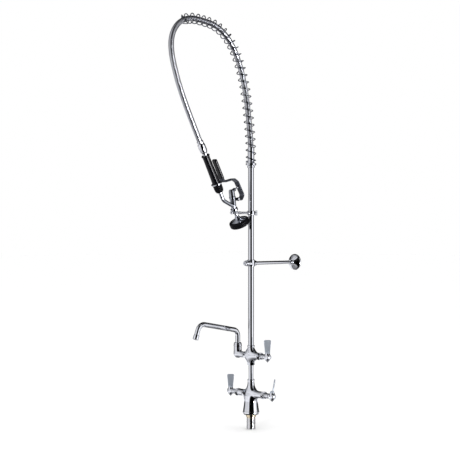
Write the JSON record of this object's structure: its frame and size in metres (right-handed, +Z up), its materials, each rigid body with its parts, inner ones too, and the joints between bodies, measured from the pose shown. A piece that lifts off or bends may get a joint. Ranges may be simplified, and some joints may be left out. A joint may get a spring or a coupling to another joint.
{
  "type": "pre rinse faucet",
  "caption": "Deck-mounted pre-rinse faucet: lever mixing base, add-on swing spout, tall braced riser, spring-guided hose and a squeeze spray valve on a hook.",
  "frame": {"origin": "centre of the deck plane on the base's vertical axis, where the gasket sits", "axes": "+Z up along the riser, -Y to the front (the side the hose, spray valve and spout hang on), +X towards the cold handle and the add-on faucet's handle"},
  "size_m": [0.2032, 0.52, 1.2158],
  "materials": {
    "chrome": "polished chrome plate on brass",
    "rubber": "smooth black rubber",
    "grip_plastic": "satin black plastic",
    "seal_rubber": "moulded seal rubber",
    "brass": "machined brass with light plating",
    "white_plastic": "moulded plastic",
    "braid": "braided stainless wire",
    "spring_steel": "bright spring wire",
    "spray_steel": "satin stainless steel"
  },
  "bodies": {
    "frame": {"deck_gasket": "rubber", "shank": "brass", "base_body": "chrome", "check_valves": "white_plastic", "hot_bonnet": "chrome", "hot_cartridge": "white_plastic", "cold_bonnet": "chrome", "cold_cartridge": "white_plastic", "lower_tube": "chrome", "coupling_nut": "chrome", "add_on_body": "chrome", "pot_bonnet": "chrome", "pot_cartridge": "white_plastic", "riser_collar": "chrome", "spout_nut": "chrome", "riser": "chrome", "top_collar": "chrome", "bracket_clamp": "chrome", "bracket_screw": "chrome", "bracket_rod": "chrome", "flange_collar": "chrome", "wall_flange": "chrome", "wall_plate": "spray_steel", "hook_clamp": "chrome", "hook_knob": "chrome", "hook_fork": "chrome", "hose": "braid", "hose_top_ferrule": "chrome", "guide_spring": "spring_steel"},
    "hot_handle": {"hot_spindle": "chrome", "hot_lever": "chrome", "hot_screw": "chrome"},
    "cold_handle": {"cold_spindle": "chrome", "cold_lever": "chrome", "cold_screw": "chrome"},
    "pot_handle": {"pot_spindle": "chrome", "pot_lever": "chrome", "pot_screw": "chrome"},
    "spout": {"spout_tube": "chrome", "spout_retainer": "chrome", "spout_seals": "seal_rubber", "spout_outlet": "chrome", "spout_screen": "chrome"},
    "spray": {"hose_end_nut": "chrome", "grip_tube": "chrome", "grip": "grip_plastic", "grip_flange": "chrome", "grip_cup": "rubber", "spray_casting": "chrome", "spray_bonnet": "chrome", "seat_washer": "seal_rubber", "valve_spring": "spring_steel", "lever_pin": "chrome", "bumper": "rubber", "face_ring": "chrome", "spray_plate": "spray_steel"},
    "squeeze": {"lever_strap": "chrome", "lever_pad": "grip_plastic"},
    "stem": {"spray_stem": "chrome"}
  },
  "joints": [
    {"name": "hot_turn", "type": "hinge", "parent": "frame", "child": "hot_handle", "pos_m": [-0.088, 0, 0.0615], "axis": [1, 0, 0], "range_deg": [0, 90]},
    {"name": "cold_turn", "type": "hinge", "parent": "frame", "child": "cold_handle", "pos_m": [0.088, 0, 0.0615], "axis": [1, 0, 0], "range_deg": [0, 90]},
    {"name": "pot_turn", "type": "hinge", "parent": "frame", "child": "pot_handle", "pos_m": [0.069, 0, 0.176], "axis": [1, 0, 0], "range_deg": [0, 90]},
    {"name": "spout_swing", "type": "hinge", "parent": "frame", "child": "spout", "pos_m": [-0.057, 0, 0.2], "axis": [0, 0, 1], "range_deg": [-250, 70]},
    {"name": "spray_lift", "type": "slide", "parent": "frame", "child": "spray", "axis": [0, -1, 0], "range_m": [0, 0.045], "deforming": ["hose"]},
    {"name": "squeeze_turn", "type": "hinge", "parent": "spray", "child": "squeeze", "pos_m": [0, -0.06047, 0.64345], "axis": [1, 0, 0], "range_deg": [0, 3], "stiffness_Nm_per_rad": 3, "springref_deg": -3.44},
    {"name": "stem_push", "type": "slide", "parent": "spray", "child": "stem", "axis": [0, -0.8746, -0.4848], "range_m": [0, 0.00152]}
  ],
  "couplings": [
    {"joint": "stem_push", "follows": "squeeze_turn", "m_per_rad": 0.029}
  ]
}
